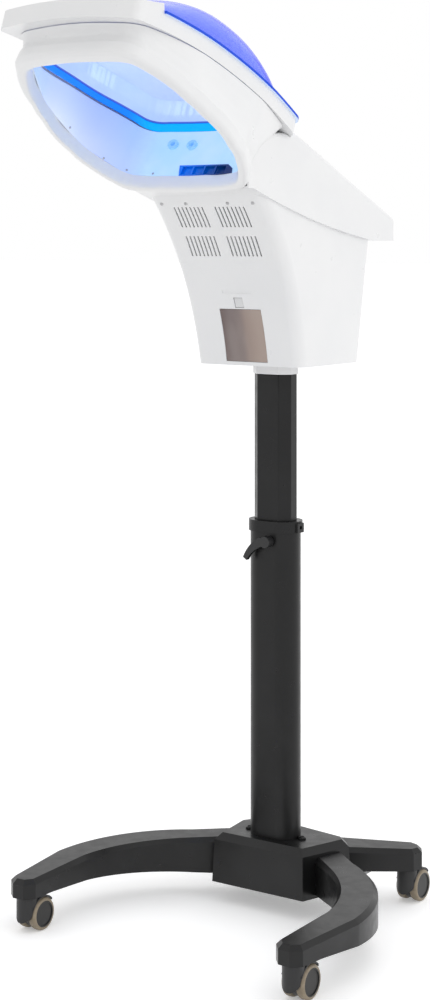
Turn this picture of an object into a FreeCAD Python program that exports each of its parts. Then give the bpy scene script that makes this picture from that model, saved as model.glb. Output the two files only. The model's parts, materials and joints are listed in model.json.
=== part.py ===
import FreeCAD, Part
import math
import os

V = FreeCAD.Vector
os.makedirs("parts", exist_ok=True)

# Hood hair dryer on a rolling stand. Millimetres, +Z up, the client sits on the -Y side.
# Everything is drawn about the column's axis and moved at the end, so that the
# origin lies on the floor under the middle of the whole machine.

# Casters
wheel_d = 50.0
wheel_w = 13.5
wheel_crown = 4.0
tread_t = 5.0
cap_recess = 1.2
caster_web = 9.0
wheel_gap = 0.8
caster_trail = 20.0
axle_r = 4.0
axle_play = 0.05
fork_r = 16.5
fork_top_z = 54.0
fork_low_z = 17.0
fender_gap = 1.2
fender_t = 2.2
stem_r = 5.5
stem_len = 22.0
stem_play = 0.05
swivel_gap = 0.6
front_caster_x, front_caster_y = 244.0, -330.0
rear_caster_x, rear_caster_y = 174.0, 122.0
rear_left_turn = 18.0

# Base casting and legs
hub_top_z = 111.0
hub_low_z = 33.0
hub_chamfer = 10.5
hub_right = ((84.0, -52.0), (115.0, 38.0), (99.0, 56.0), (12.0, 68.0))
hub_left = ((-12.0, 68.0), (-84.0, 52.0), (-95.0, 34.0), (-84.0, -52.0))
hub_draft = 3.0
leg_root_w, leg_bend_w, leg_tip_w = 54.0, 61.0, 47.0
leg_chamfer = 7.0
leg_root_z = 96.0
leg_tip_z = 86.0
leg_low_root_z = 36.0
leg_low_tip_z = 57.0
front_leg_heading = 38.0
front_leg_straight = 90.0
front_leg_bend = (217.5, -107.5)
front_leg_lane = (251.5, -214.0)
front_leg_root = (70.3, 23.5)
rear_leg_root = (40.0, 41.6)
rear_root_w = 67.0

# Column
column_w, column_d = 86.0, 56.0
column_t = 2.5
column_top_z = 612.0
collar_t = 2.8
collar_low_z, collar_top_z = 601.0, 619.0
bush_len = 60.0
slide_play = 0.35
mast_w, mast_d = 70.0, 46.0
mast_face_w = 40.0
mast_side_d = 18.0
mast_t = 2.5
mast_low_z = 350.0
neck_low_z = 854.0
neck_lip = 2.0
foot_bolt_r = 4.0
foot_bolt_gap = 7.0
lever_x, lever_z = 6.0, 587.0
lever_boss_r = 9.0
lever_len = 52.0
lever_droop = 38.0
clamp_screw_r = 4.0
screw_play = 0.05

# Lower housing of the head
shell_t = 3.0
body_low_z = 871.0
body_half_low, body_half_top = 100.0, 108.0
body_taper_z = 1130.0
body_corner_r = 20.0
front_low_y, front_top_y = -82.0, -199.0
front_top_z = 1131.0
front_sag = 20.0
rear_low_y, rear_top_y = 102.0, 128.0
seam_front = (-232.0, 1147.0)
seam_mid = (-60.0, 1100.0)
seam_rear_z = 1068.0
plate_t = 6.0

# Vents, tank and latch in the front wall
slot_w, slot_h = 2.6, 31.0
slot_pitch = 7.5
slots_per_group = 8
slot_group_x = 38.5
slot_rows_z = (1105.0, 1060.0)
tank_half_w = 39.0
tank_low_z, tank_top_z = 877.0, 961.0
tank_depth = 92.0
tank_t = 2.2
tank_play = 0.5
latch_half_w, latch_h = 8.5, 16.0
screw_head_r = 3.0
label_half_w, label_h, label_depth, label_z = 27.0, 5.0, 0.8, 988.5
panel_screw_x = (39.0, 85.0)
panel_screw_z = 1126.0

# Rear cover
cover_half = 112.0
cover_front = (-112.0, 1235.0)
cover_nose = ((-246.0, 1156.0), (-262.0, 1164.0), (-225.0, 1230.0))
cover_ledge = 3.0
cover_rear_y = 194.0
cover_rear_top_z = 1106.0
cover_edge_r = 10.0

# Hood, drawn in the tilted plane of its rim as (x, along the plane, corner radius)
rim_tilt = 33.0
rim_y, rim_z = -373.0, 1222.2
rim_h = 20.0
rim_roll = 9.0
rim_outline = ((0, -197, 600), (106, -190, 42), (152, -62, 120), (155, 62, 90), (114, 146, 45),
               (0, 160, 600))
waist_outline = ((0, -185, 600), (103, -178, 38), (141, -62, 120), (143, 60, 90), (107, 140, 42),
                 (0, 153, 600))
waist_tilt = 29.0
waist_pull = 6.0
waist_y, waist_z = -348.0, 1269.4
opening_outline = ((0, -166, 600), (94, -163, 36), (139, -62, 110), (142, 50, 80), (106, 128, 36),
                   (0, 135, 600))
rim_inset = 12.0
liner_t = 2.5

# Lid, drawn in the tilted plane of its chord and bent over one large sphere
lid_tilt = 19.6
lid_y, lid_z = -331.5, 1298.6
lid_r = 1190.0
lid_half_chord = 239.74
lid_outline = ((0, -234, 700), (125, -217, 15), (129, -60, 400), (128, 120, 300), (123, 212, 18),
               (0, 223, 700))
skirt_outline = ((0, -183, 700), (105, -174, 24), (119, -90, 400), (122, 15, 300), (97, 140, 34),
                 (0, 157, 380))
lid_h = 23.0
lid_gap = 1.0
seat_inset = 3.0
cap_top_z, cap_crown_r = 1405.0, 1000.0
cap_end_y = -476.0
cap_sink = 6.0
skirt_t = 2.5
skirt_drop = 28.0
skirt_play = 1.0
flange_t = 4.0
flange_reach = 4.0
dome_t = 3.0
dome_rings = ((18, -199, 214, 120, 4.5), (48, -176, 206, 118, 4.0), (74, -129, 187, 108, 3.5),
              (96, -86, 161, 94, 3.0), (113, -42, 130, 74, 2.6), (123, 5, 103, 48, 2.3),
              (127, 36, 80, 24, 2.0))
pivot_y, pivot_z = -98.0, 1249.0
pivot_r = 3.0
pivot_play = 0.05
ear_x, ear_w = 66.0, 9.0
ear_r = 7.0
notch_r = 5.0

# Inside the head
boiler_r, boiler_h = 30.0, 72.0
boiler_y = 52.0
shelf_z, shelf_t = 985.0, 3.0
fan_y, fan_size, fan_h = 22.0, 96.0, 26.0
fan_bore_r, fan_hub_r, fan_shaft_r = 44.0, 15.0, 3.0
fan_tip_gap = 2.0
fan_blades = 7
heater_h = 22.0
heater_wall = 6.0
heater_fins = 9
nozzle_r, nozzle_len = 8.5, 4.0
nozzle_x = (-45.0, -11.0)
nozzle_bore_r = 4.0
nozzle_rise = 58.0
grille_x = (-12.0, 88.0)
grille_low, grille_high = 3.0, 24.0
grille_slots = 4

# Controls on the rear slope
knob_r, knob_h = 17.0, 16.0
knob_y, knob_x = 70.0, -42.0
button_r, button_travel = 9.0, 2.0
button_x = 8.0
rocker_half = (8.0, 12.0)
rocker_x = 52.0
board_drop = 12.0
control_shaft_r = 3.0
inlet_half, inlet_h, inlet_z = 14.0, 20.0, 905.0
inlet_stand, inlet_depth = 6.0, 24.0
inlet_wall, inlet_pin_len = 3.0, 14.0


def box(x0, x1, y0, y1, z0, z1):
    return Part.makeBox(x1 - x0, y1 - y0, z1 - z0, V(x0, y0, z0))


def rod(radius, start, end):
    line = V(*end) - V(*start)
    return Part.makeCylinder(radius, line.Length, V(*start), line)


def rounded(corners):
    """Closed wire through (x, y, radius) corners in the XY plane, with each corner rounded."""
    count = len(corners)
    places = [V(x, y, 0) for x, y, r in corners]
    stops = []
    for i, (x, y, r) in enumerate(corners):
        here = places[i]
        back = (places[i - 1] - here).normalize()
        ahead = (places[(i + 1) % count] - here).normalize()
        half = back.getAngle(ahead) / 2
        if r == 0:
            stops.append((here, None, here))
            continue
        cut = r / math.tan(half)
        middle = (back + ahead).normalize() * (r / math.sin(half) - r)
        stops.append((here + back * cut, here + middle, here + ahead * cut))
    edges = []
    for i, (start, middle, end) in enumerate(stops):
        if middle is not None:
            edges.append(Part.Arc(start, middle, end).toShape())
        edges.append(Part.makeLine(end, stops[(i + 1) % count][0]))
    return Part.Wire(edges)


def mirrored(half):
    """A whole outline from its x >= 0 half, whose first and last corners lie on x = 0."""
    other = [(-x, y, r) for x, y, r in reversed(half[1:-1])]
    return list(half) + other


def inset(half, distance):
    """The half outline with every side moved inwards, which keeps its number of corners."""
    whole = mirrored(half)
    count = len(whole)
    moved = []
    for i in range(len(half)):
        x, y, r = whole[i]
        before, after = whole[i - 1], whole[(i + 1) % count]
        a = V(x - before[0], y - before[1], 0).normalize()
        b = V(after[0] - x, after[1] - y, 0).normalize()
        normal_a, normal_b = V(-a.y, a.x, 0), V(-b.y, b.x, 0)
        shift = (normal_a + normal_b) * (distance / (1 + normal_a.dot(normal_b)))
        moved.append((x + shift.x, y + shift.y, max(r - distance, 4.0)))
    return moved


def tilted(shape, angle, y, z):
    """Turns what is drawn flat about X, so that it falls towards the rear, and places it."""
    shape = shape.copy()
    shape.rotate(V(0, 0, 0), V(1, 0, 0), -angle)
    shape.translate(V(0, y, z))
    return shape


def slab(wire, low, high):
    """A wire of the XY plane pulled up from one height to another."""
    wire = wire.copy()
    wire.translate(V(0, 0, low))
    return Part.Face(wire).extrude(V(0, 0, high - low))


def raised(wire, height):
    wire = wire.copy()
    wire.translate(V(0, 0, height))
    return wire


def across(edges, half):
    """A closed side view, given as edges in the YZ plane at x = 0, pulled out to both sides."""
    wire = Part.Wire(edges)
    wire.translate(V(-half, 0, 0))
    return Part.Face(wire).extrude(V(2 * half, 0, 0))


def side_line(a, b):
    return Part.makeLine(V(0, *a), V(0, *b))


def side_arc(a, m, b):
    return Part.Arc(V(0, *a), V(0, *m), V(0, *b)).toShape()


def stadium(width, depth):
    """Wire of an oval tube with half-round ends, wide along X."""
    r = depth / 2
    flat = width / 2 - r
    return Part.Wire([
        Part.makeLine(V(-flat, -r, 0), V(flat, -r, 0)),
        Part.Arc(V(flat, -r, 0), V(flat + r, 0, 0), V(flat, r, 0)).toShape(),
        Part.makeLine(V(flat, r, 0), V(-flat, r, 0)),
        Part.Arc(V(-flat, r, 0), V(-flat - r, 0, 0), V(-flat, -r, 0)).toShape()])


def mast_wire(grow):
    """Wire of the eight-sided inner tube, grown outwards by a distance."""
    x, y = mast_w / 2 + grow, mast_d / 2 + grow
    face, side = mast_face_w / 2 + grow / 2, mast_side_d / 2 + grow / 2
    corners = [(face, -y), (x, -side), (x, side), (face, y), (-face, y), (-x, side), (-x, -side), (-face, -y)]
    points = [V(a, b, 0) for a, b in corners]
    return Part.makePolygon(points + points[:1])


pieces = {}


def keep(name, shape):
    merged = shape.removeSplitter()
    if not merged.isValid():
        merged = shape.copy()
        merged.fix(0.01, 0.01, 0.01)
    pieces[name] = merged


# Casters: a hooded twin wheel that trails behind its swivel
wheel_r = wheel_d / 2
wheel_in = caster_web / 2 + wheel_gap
wheel_out = wheel_in + wheel_w
fender_half = wheel_out - 2.0
fender_end = caster_trail + (wheel_r + fender_gap + fender_t) * 0.72
sweep_r = math.hypot(fender_half, fender_end)


def wheel_parts(side):
    """Core and crowned tread of one wheel about the X axis; side is 1 or -1."""
    core_r = wheel_r - tread_t
    core = rod(core_r, (wheel_in, 0, 0), (wheel_out, 0, 0))
    core = core.cut(rod(core_r - cap_recess - 1.0, (wheel_out - cap_recess, 0, 0), (wheel_out + 1, 0, 0)))
    core = core.cut(rod(axle_r + axle_play, (0, 0, 0), (wheel_out - cap_recess - 1.5, 0, 0)))
    crown = wheel_crown
    low, high = wheel_in, wheel_out
    middle = wheel_r - crown * (1 - math.sqrt(0.5))
    outline = [
        Part.makeLine(V(low, core_r, 0), V(low, wheel_r - crown, 0)),
        Part.Arc(V(low, wheel_r - crown, 0), V(low + crown * (1 - math.sqrt(0.5)), middle, 0),
                 V(low + crown, wheel_r, 0)).toShape(),
        Part.makeLine(V(low + crown, wheel_r, 0), V(high - crown, wheel_r, 0)),
        Part.Arc(V(high - crown, wheel_r, 0), V(high - crown * (1 - math.sqrt(0.5)), middle, 0),
                 V(high, wheel_r - crown, 0)).toShape(),
        Part.makeLine(V(high, wheel_r - crown, 0), V(high, core_r, 0)),
        Part.makeLine(V(high, core_r, 0), V(low, core_r, 0))]
    tread = Part.Face(Part.Wire(outline)).revolve(V(0, 0, 0), V(1, 0, 0), 360)
    if side < 0:
        core, tread = [shape.mirror(V(0, 0, 0), V(1, 0, 0)) for shape in (core, tread)]
    return core, tread


def caster_housing():
    """Web between the wheels, bib in front of them, fender above and stem, about the swivel at x = y = 0."""
    axle = V(0, caster_trail, wheel_r)
    web_r = wheel_r - 3.0
    web = rod(web_r, (-caster_web / 2, axle.y, axle.z), (caster_web / 2, axle.y, axle.z))
    web = web.fuse(box(-caster_web / 2, caster_web / 2, 0, axle.y, fork_low_z + 4, fork_top_z - 4))
    tower = Part.makeCylinder(fork_r, fork_top_z - fork_low_z, V(0, 0, fork_low_z))
    bib = box(-fork_r, fork_r, -fork_r, fork_r, fork_low_z + fork_r, fork_top_z)
    bib = bib.fuse(rod(fork_r, (0, -fork_r, fork_low_z + fork_r), (0, fork_r, fork_low_z + fork_r)))
    tower = tower.common(bib)
    inner, outer = wheel_r + fender_gap, wheel_r + fender_gap + fender_t
    fender = rod(outer, (-fender_half, axle.y, axle.z), (fender_half, axle.y, axle.z))
    fender = fender.common(box(-fender_half, fender_half, -fork_r, fender_end, axle.z + 12, axle.z + outer))
    body = tower.fuse([fender, web])
    for side in (1, -1):
        low, high = sorted((side * caster_web / 2, side * (wheel_out + 9)))
        body = body.cut(rod(inner, (low, axle.y, axle.z), (high, axle.y, axle.z)))
    body = body.cut(rod(axle_r, (-40, axle.y, axle.z), (40, axle.y, axle.z)))
    stem = Part.makeCylinder(stem_r, stem_len + 1, V(0, 0, fork_top_z - 1))
    return body.fuse(stem)


def turned(x, y, degrees):
    """A place turned clockwise about the column."""
    a = -math.radians(degrees)
    return (x * math.cos(a) - y * math.sin(a), x * math.sin(a) + y * math.cos(a))


corners = {
    "front_left": (-front_caster_x, front_caster_y), "front_right": (front_caster_x, front_caster_y),
    "rear_left": turned(-rear_caster_x, rear_caster_y, rear_left_turn),
    "rear_right": (rear_caster_x, rear_caster_y)}

housing = caster_housing()
for corner, (x, y) in corners.items():
    keep("caster_" + corner, housing.translated(V(x, y, 0)))
    hub_point = V(x, y + caster_trail, wheel_r)
    reach = wheel_out - cap_recess - 2.0
    keep("axle_" + corner, rod(axle_r, (-reach, 0, 0), (reach, 0, 0)).translated(hub_point))
    for hand, side in (("left", -1), ("right", 1)):
        core, tread = wheel_parts(side)
        keep("wheel_" + corner + "_" + hand, core.translated(hub_point))
        keep("tread_" + corner + "_" + hand, tread.translated(hub_point))


# Base: a chamfered hub, two long curved front legs and two short rear legs
def hub_wire(grow):
    whole = [V(x, y, 0) for x, y in hub_right + hub_left]
    points = []
    for i, here in enumerate(whole):
        a = (here - whole[i - 1]).normalize()
        b = (whole[(i + 1) % len(whole)] - here).normalize()
        outward = V(a.y + b.y, -a.x - b.x, 0) * (grow / (1 + a.dot(b)))
        points.append(here + outward)
    return Part.makePolygon(points + points[:1])


shoulder_z = hub_top_z - hub_chamfer
hub = Part.makeLoft([raised(hub_wire(hub_draft), hub_low_z), raised(hub_wire(0), shoulder_z)], True, True)
hub = hub.fuse(Part.makeLoft([raised(hub_wire(0), shoulder_z), raised(hub_wire(-hub_chamfer), hub_top_z)],
                             True, True))


def along(start, heading, length):
    return (start[0] + length * math.cos(heading), start[1] + length * math.sin(heading))


def leg_plan(line, widths, headings):
    """Outline of a leg along places with a width and heading each; the last is the centre of its tip."""
    outer = [along(p, h + math.pi / 2, w / 2) for p, w, h in zip(line, widths, headings)]
    inner = [along(p, h - math.pi / 2, w / 2) for p, w, h in zip(line, widths, headings)]
    tip, w, h = line[-1], widths[-1], headings[-1]
    shoulder = w * (math.sqrt(0.5) - 0.5)
    outer[-1], inner[-1] = along(outer[-1], h, shoulder), along(inner[-1], h, shoulder)
    end = along(tip, h, w / 2)
    nose = [outer[-1], along(end, h + math.pi / 2, shoulder),
            along(end, h - math.pi / 2, shoulder), inner[-1]]
    edges = [("line", outer[0], outer[1])]
    if len(line) == 5:
        edges += [("arc", outer[1], outer[2], outer[3]), ("line", outer[3], outer[4])]
    edges += [("line", a, b) for a, b in zip(nose, nose[1:])]
    if len(line) == 5:
        edges += [("line", inner[4], inner[3]), ("arc", inner[3], inner[2], inner[1])]
    edges += [("line", inner[1], inner[0]), ("line", inner[0], outer[0])]
    shapes = []
    for kind, *places in edges:
        points = [V(px, py, 0) for px, py in places]
        shapes.append(Part.makeLine(*points) if kind == "line" else Part.Arc(*points).toShape())
    return Part.Wire(shapes)


def leg_body(plan, profile_edges, direction, root):
    """Plan and side view crossed, with the top edges chamfered all round but for the root's end."""
    body = slab(plan, leg_low_root_z - 10, leg_root_z + 10)
    body = body.common(Part.Face(Part.Wire(profile_edges)).extrude(direction))
    top_edges = []
    for face in body.Faces:
        u0, u1, v0, v1 = face.ParameterRange
        if face.normalAt((u0 + u1) / 2, (v0 + v1) / 2).z > 0.9:
            top_edges += face.Edges
    seen = []
    for edge in top_edges:
        at_root = math.hypot(edge.CenterOfMass.x - root[0], edge.CenterOfMass.y - root[1]) < 12
        if not at_root and not any(edge.isSame(other) for other in seen):
            seen.append(edge)
    return body.makeChamfer(leg_chamfer, seen)


front_heading = -math.radians(front_leg_heading)
front_knee = along(front_leg_root, front_heading, front_leg_straight)
front_line = [front_leg_root, front_knee, front_leg_bend, front_leg_lane, (front_caster_x, front_caster_y)]
lane_heading = math.atan2(front_caster_y - front_leg_lane[1], front_caster_x - front_leg_lane[0])
bend_heading = (front_heading + lane_heading) / 2
front_plan = leg_plan(front_line, (leg_root_w, leg_root_w, leg_bend_w, leg_bend_w, leg_tip_w),
                      (front_heading, front_heading, bend_heading, lane_heading, lane_heading))
far_y = front_caster_y - leg_tip_w
front_profile = [
    side_line((70, leg_root_z + 2), (far_y, leg_tip_z - 1)),
    side_line((far_y, leg_tip_z - 1), (far_y, leg_low_tip_z)),
    side_line((far_y, leg_low_tip_z), (front_caster_y + 30, leg_low_tip_z)),
    side_arc((front_caster_y + 30, leg_low_tip_z), (-150, leg_low_root_z + 11), (0, leg_low_root_z - 1)),
    side_line((0, leg_low_root_z - 1), (70, leg_low_root_z - 1)),
    side_line((70, leg_low_root_z - 1), (70, leg_root_z + 2))]
leg_front = leg_body(front_plan, front_profile, V(400, 0, 0), front_leg_root)

rear_tip = (rear_caster_x, rear_caster_y)
rear_heading = math.atan2(rear_tip[1] - rear_leg_root[1], rear_tip[0] - rear_leg_root[0])
rear_plan = leg_plan([rear_leg_root, rear_tip], (rear_root_w, leg_tip_w), (rear_heading, rear_heading))
far_x = rear_caster_x + leg_tip_w
rear_profile = [Part.makeLine(V(a, 0, b), V(c, 0, d)) for (a, b), (c, d) in (
    ((0, leg_root_z + 2), (far_x, leg_tip_z + 4)), ((far_x, leg_tip_z + 4), (far_x, leg_low_tip_z)),
    ((far_x, leg_low_tip_z), (rear_caster_x - sweep_r, leg_low_tip_z)),
    ((rear_caster_x - sweep_r, leg_low_tip_z), (hub_right[1][0], leg_low_root_z + 6)),
    ((hub_right[1][0], leg_low_root_z + 6), (0, leg_low_root_z + 6)),
    ((0, leg_low_root_z + 6), (0, leg_root_z + 2)))]
leg_rear = leg_body(rear_plan, rear_profile, V(0, 400, 0), rear_leg_root)

socket_top_z = fork_top_z + stem_len + 1.5
boss_low_z = fork_top_z + swivel_gap
legs = {}
for name, leg in (("front", leg_front), ("rear", leg_rear)):
    x, y = corners[name + "_right"]
    boss = Part.makeCylinder(fork_r + 1, leg_low_tip_z + 2 - boss_low_z, V(x, y, boss_low_z))
    bore = Part.makeCylinder(stem_r + stem_play, socket_top_z - boss_low_z + 1, V(x, y, boss_low_z - 1))
    legs[name] = leg.fuse(boss).cut(bore)
left_rear = legs["rear"].mirror(V(0, 0, 0), V(1, 0, 0))
left_rear.rotate(V(0, 0, 0), V(0, 0, 1), -rear_left_turn)
keep("leg_front_right", legs["front"].cut(hub))
keep("leg_front_left", legs["front"].mirror(V(0, 0, 0), V(1, 0, 0)).cut(hub))
keep("leg_rear_right", legs["rear"].cut(hub).cut(pieces["leg_front_right"]))
keep("leg_rear_left", left_rear.cut(hub).cut(pieces["leg_front_left"]))

bolt_len = 30.0
bolts = []
for side in (1, -1):
    place = V(side * (column_w / 2 + foot_bolt_gap), 0, 0)
    shank = Part.makeCylinder(foot_bolt_r, bolt_len, V(0, 0, hub_top_z - bolt_len))
    head = Part.makeCylinder(foot_bolt_r * 1.7, 5.0, V(0, 0, hub_top_z))
    hub = hub.cut(shank.translated(place))
    bolts.append(shank.fuse(head).translated(place))
keep("base_hub", hub)
keep("column_bolts", Part.makeCompound(bolts))

# Column: oval outer tube, collar, guide bush, and the eight-sided tube that slides in it
outer_tube = slab(stadium(column_w, column_d), hub_top_z, column_top_z)
cavity = stadium(column_w - 2 * column_t, column_d - 2 * column_t)
outer_tube = outer_tube.cut(slab(cavity, hub_top_z + 6, column_top_z + 1))
screw_hole = rod(clamp_screw_r + screw_play, (lever_x, 0, lever_z), (lever_x, -column_d, lever_z))
keep("outer_column", outer_tube.cut(screw_hole))

bush = slab(cavity, column_top_z - bush_len, column_top_z)
bush = bush.cut(slab(mast_wire(slide_play), column_top_z - bush_len - 1, column_top_z + 1)).cut(screw_hole)
keep("guide_bush", bush)

collar = slab(stadium(column_w + 2 * collar_t, column_d + 2 * collar_t), collar_low_z, collar_top_z)
collar = collar.cut(slab(stadium(column_w, column_d), collar_low_z - 1, column_top_z))
ear = box(column_w / 2 - 6, column_w / 2 + collar_t + 2.5, -9, 9, collar_low_z, collar_top_z - 3)
ear = ear.cut(slab(stadium(column_w, column_d), collar_low_z - 1, collar_top_z))
collar = collar.fuse(ear).cut(slab(mast_wire(slide_play + 0.4), column_top_z - 1, collar_top_z + 1))
collar = collar.cut(rod(3.2, (column_w / 2 + 1.0, 0, collar_low_z + 8), (column_w, 0, collar_low_z + 8)))
keep("column_collar", collar)

mast = slab(mast_wire(0), mast_low_z, neck_low_z)
mast = mast.cut(slab(mast_wire(-mast_t), mast_low_z - 1, neck_low_z + 1))
keep("inner_column", mast)

neck = slab(mast_wire(neck_lip), neck_low_z, body_low_z)
plug = slab(mast_wire(-mast_t), neck_low_z - 40, neck_low_z + 1)
keep("neck_bracket", neck.fuse(plug))

# Clamp lever: a screw through the tube's front wall with a drooping paddle
front_face_y = -column_d / 2
tip_r = 4.5
screw = rod(clamp_screw_r, (0, -mast_d / 2 - slide_play, 0), (0, front_face_y - 4, 0))
boss = rod(lever_boss_r, (0, front_face_y - 0.5, 0), (0, front_face_y - 15, 0))
reach_x, reach_z = -lever_len * math.sin(math.radians(lever_droop + 15)), -lever_len * math.cos(
    math.radians(lever_droop + 15))
paddle_wire = Part.Wire([
    Part.makeLine(V(lever_boss_r * 0.6, 0, lever_boss_r * 0.8), V(-12, 0, lever_boss_r * 0.7)),
    Part.Arc(V(-12, 0, lever_boss_r * 0.7), V(reach_x * 0.78, 0, reach_z * 0.36),
             V(reach_x, 0, reach_z + tip_r)).toShape(),
    Part.makeLine(V(reach_x, 0, reach_z + tip_r), V(reach_x + 1.5 * tip_r, 0, reach_z)),
    Part.Arc(V(reach_x + 1.5 * tip_r, 0, reach_z), V(reach_x * 0.62, 0, reach_z * 0.62),
             V(-6, 0, -lever_boss_r * 0.8)).toShape(),
    Part.makeLine(V(-6, 0, -lever_boss_r * 0.8), V(lever_boss_r * 0.6, 0, -lever_boss_r * 0.6)),
    Part.makeLine(V(lever_boss_r * 0.6, 0, -lever_boss_r * 0.6),
                  V(lever_boss_r * 0.6, 0, lever_boss_r * 0.8))])
paddle = Part.Face(paddle_wire).extrude(V(0, -8.0, 0)).translated(V(0, front_face_y - 6, 0))
keep("clamp_lever", screw.fuse([boss, paddle]).translated(V(lever_x, 0, lever_z)))


# Lower housing: concave front wall, flared sides, leaning rear wall
def arc_middle(a, b, sag):
    """The middle of an arc from a to b that bulges by sag to the left of the way."""
    dy, dz = b[0] - a[0], b[1] - a[1]
    length = math.hypot(dy, dz)
    return ((a[0] + b[0]) / 2 - sag * dz / length, (a[1] + b[1]) / 2 + sag * dy / length)


def head_core(wall, low_z, top_z):
    """The closed volume of the lower housing, moved inwards by wall and ending at two heights."""
    front_low, front_top = (front_low_y + wall, body_low_z), (front_top_y + wall, front_top_z)
    middle = arc_middle(front_low, front_top, -front_sag)
    rear_lean = (rear_top_y - rear_low_y) / (seam_rear_z - body_low_z)
    high = front_top_z + 260.0
    rear_high = (rear_low_y - wall + rear_lean * (high - body_low_z), high)
    front_high = (front_top[0] - 170, high)
    rear_low = (rear_low_y - wall, body_low_z)
    edges = [side_arc(front_low, middle, front_top), side_line(front_top, front_high),
             side_line(front_high, rear_high), side_line(rear_high, rear_low), side_line(rear_low, front_low)]
    body = across(edges, 200)
    flare = (body_half_top - body_half_low) / (body_taper_z - body_low_z)
    low_x = body_half_low - wall
    high_x = low_x + flare * (high - body_low_z)
    points = [V(x, -600, z) for x, z in (
        (low_x, body_low_z), (high_x, high), (-high_x, high), (-low_x, body_low_z))]
    body = body.common(Part.Face(Part.makePolygon(points + points[:1])).extrude(V(0, 1200, 0)))
    upright = [e for e in body.Edges if e.BoundBox.ZLength > 50 and abs(e.CenterOfMass.x) > 50]
    body = body.makeFillet(max(body_corner_r - wall, 2.0), upright)
    return body.common(box(-300, 300, -600, 400, low_z, top_z))


seam = [side_line((seam_front[0] - 60, seam_front[1]), seam_front),
        side_arc(seam_front, seam_mid, (rear_top_y, seam_rear_z)),
        side_line((rear_top_y, seam_rear_z), (400, seam_rear_z))]


def seam_block(height, half):
    """Everything above the seam, or below it where height is negative."""
    start, end = (seam_front[0] - 60, seam_front[1]), (400, seam_rear_z)
    far = seam_front[1] + height
    return across(seam + [side_line(end, (end[0], far)), side_line((end[0], far), (start[0], far)),
                          side_line((start[0], far), start)], half)


below_seam = seam_block(-500.0, 300)
above_seam = seam_block(300.0, 300)
hood_top = inset(lid_outline, seat_inset)


lid_depth = math.sqrt(lid_r ** 2 - lid_half_chord ** 2)
lid_centre = V(0, lid_y - lid_depth * math.sin(math.radians(lid_tilt)),
               lid_z - lid_depth * math.cos(math.radians(lid_tilt)))


def ball(extra):
    """The sphere that the lid is bent over, or one of another radius about the same centre."""
    return Part.makeSphere(lid_r + extra, lid_centre)


def rim_plane(half, height):
    return tilted(raised(rounded(mirrored(half)), height), rim_tilt, rim_y, rim_z)


def lid_plane(half, height):
    return tilted(raised(rounded(mirrored(half)), height), lid_tilt, lid_y, lid_z)


hood_steps = 4
hood_planes = ((rim_tilt, rim_y, rim_z), (waist_tilt, waist_y, waist_z), (lid_tilt, lid_y, lid_z))


def hood_section(share, wall):
    """A section of the hood's wall from the rim (share 0) by way of the waist to the lid's seat (share 1)."""
    weights = ((1 - share) ** 2, 2 * share * (1 - share), share ** 2)
    outlines = (inset(rim_outline, wall), inset(waist_outline, wall + waist_pull), inset(hood_top, wall))
    half = [[sum(w * corner[k] for w, corner in zip(weights, corners_at)) for k in range(3)]
            for corners_at in zip(*outlines)]
    heights = (rim_h, 0.0, 30.0)
    height = sum(w * h for w, h in zip(weights, heights))
    tilt, y, z = [sum(w * plane[k] for w, plane in zip(weights, hood_planes)) for k in range(3)]
    return tilted(raised(rounded(mirrored(half)), height), tilt, y, z)


def hood_volume(wall, start=0):
    """The hood from its rolled lip over a slight waist to above the lid's seat, moved inwards by wall."""
    wires = []
    if start == 0:
        wires.append(rim_plane(inset(rim_outline, rim_roll + wall), 0))
        wires.append(rim_plane(inset(rim_outline, rim_roll * 0.3 + wall), rim_roll * 0.3))
        wires.append(rim_plane(inset(rim_outline, wall), rim_roll))
    wires += [hood_section(step / hood_steps, wall) for step in range(hood_steps + 1)]
    if start:
        wires.insert(0, rim_plane(inset(rim_outline, wall), rim_h - start))
    return Part.makeLoft(wires, True, True)


hood_outer = hood_volume(0)
housing_outer = head_core(0, body_low_z, front_top_z + 120).common(below_seam)
housing_inner = head_core(shell_t, body_low_z - 1, front_top_z + 150)
housing = housing_outer.cut(housing_inner).cut(hood_outer)

slots = []
for row_z in slot_rows_z:
    for group in (-1, 1):
        for i in range(slots_per_group):
            x = group * slot_group_x + (i - (slots_per_group - 1) / 2) * slot_pitch
            low, high = row_z - slot_h / 2, row_z + slot_h / 2
            slots.append(box(x - slot_w / 2, x + slot_w / 2, -260, -100, low, high))
tank_hole = box(-tank_half_w, tank_half_w, -200, 0, tank_low_z, tank_top_z)
latch_hole = box(-latch_half_w, latch_half_w, -200, 0, tank_top_z + 2, tank_top_z + 2 + latch_h)
inlet_hole = box(-inlet_half, inlet_half, 60, 140, inlet_z - inlet_h / 2, inlet_z + inlet_h / 2)
housing = housing.cut(slots + [tank_hole, latch_hole, inlet_hole])


def front_y(z):
    """Where the front wall's outside stands at a height."""
    a, b = (front_low_y, body_low_z), (front_top_y, front_top_z)
    m = arc_middle(a, b, -front_sag)
    circle = side_arc(a, m, b).Curve
    c, r = circle.Center, circle.Radius
    return c.y + math.copysign(math.sqrt(r * r - (z - c.z) ** 2), a[0] - c.y)


screws = []
for x in panel_screw_x:
    for side in (1, -1):
        y = front_y(panel_screw_z)
        head = rod(screw_head_r, (side * x, y - 1.6, panel_screw_z), (side * x, y + 0.4, panel_screw_z))
        screws.append(head.fuse(rod(1.6, (side * x, y, panel_screw_z), (side * x, y + 12, panel_screw_z))))
        housing = housing.cut(screws[-1])
recess = head_core(0, label_z - label_h / 2, label_z + label_h / 2)
recess = recess.cut(head_core(label_depth, body_low_z, front_top_z))
recess = recess.common(box(-label_half_w, label_half_w, -400, 0, body_low_z, front_top_z))
keep("lower_housing", housing.cut(recess))
keep("panel_screws", Part.makeCompound(screws))
keep("bottom_plate", head_core(shell_t, body_low_z, body_low_z + plate_t))

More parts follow.
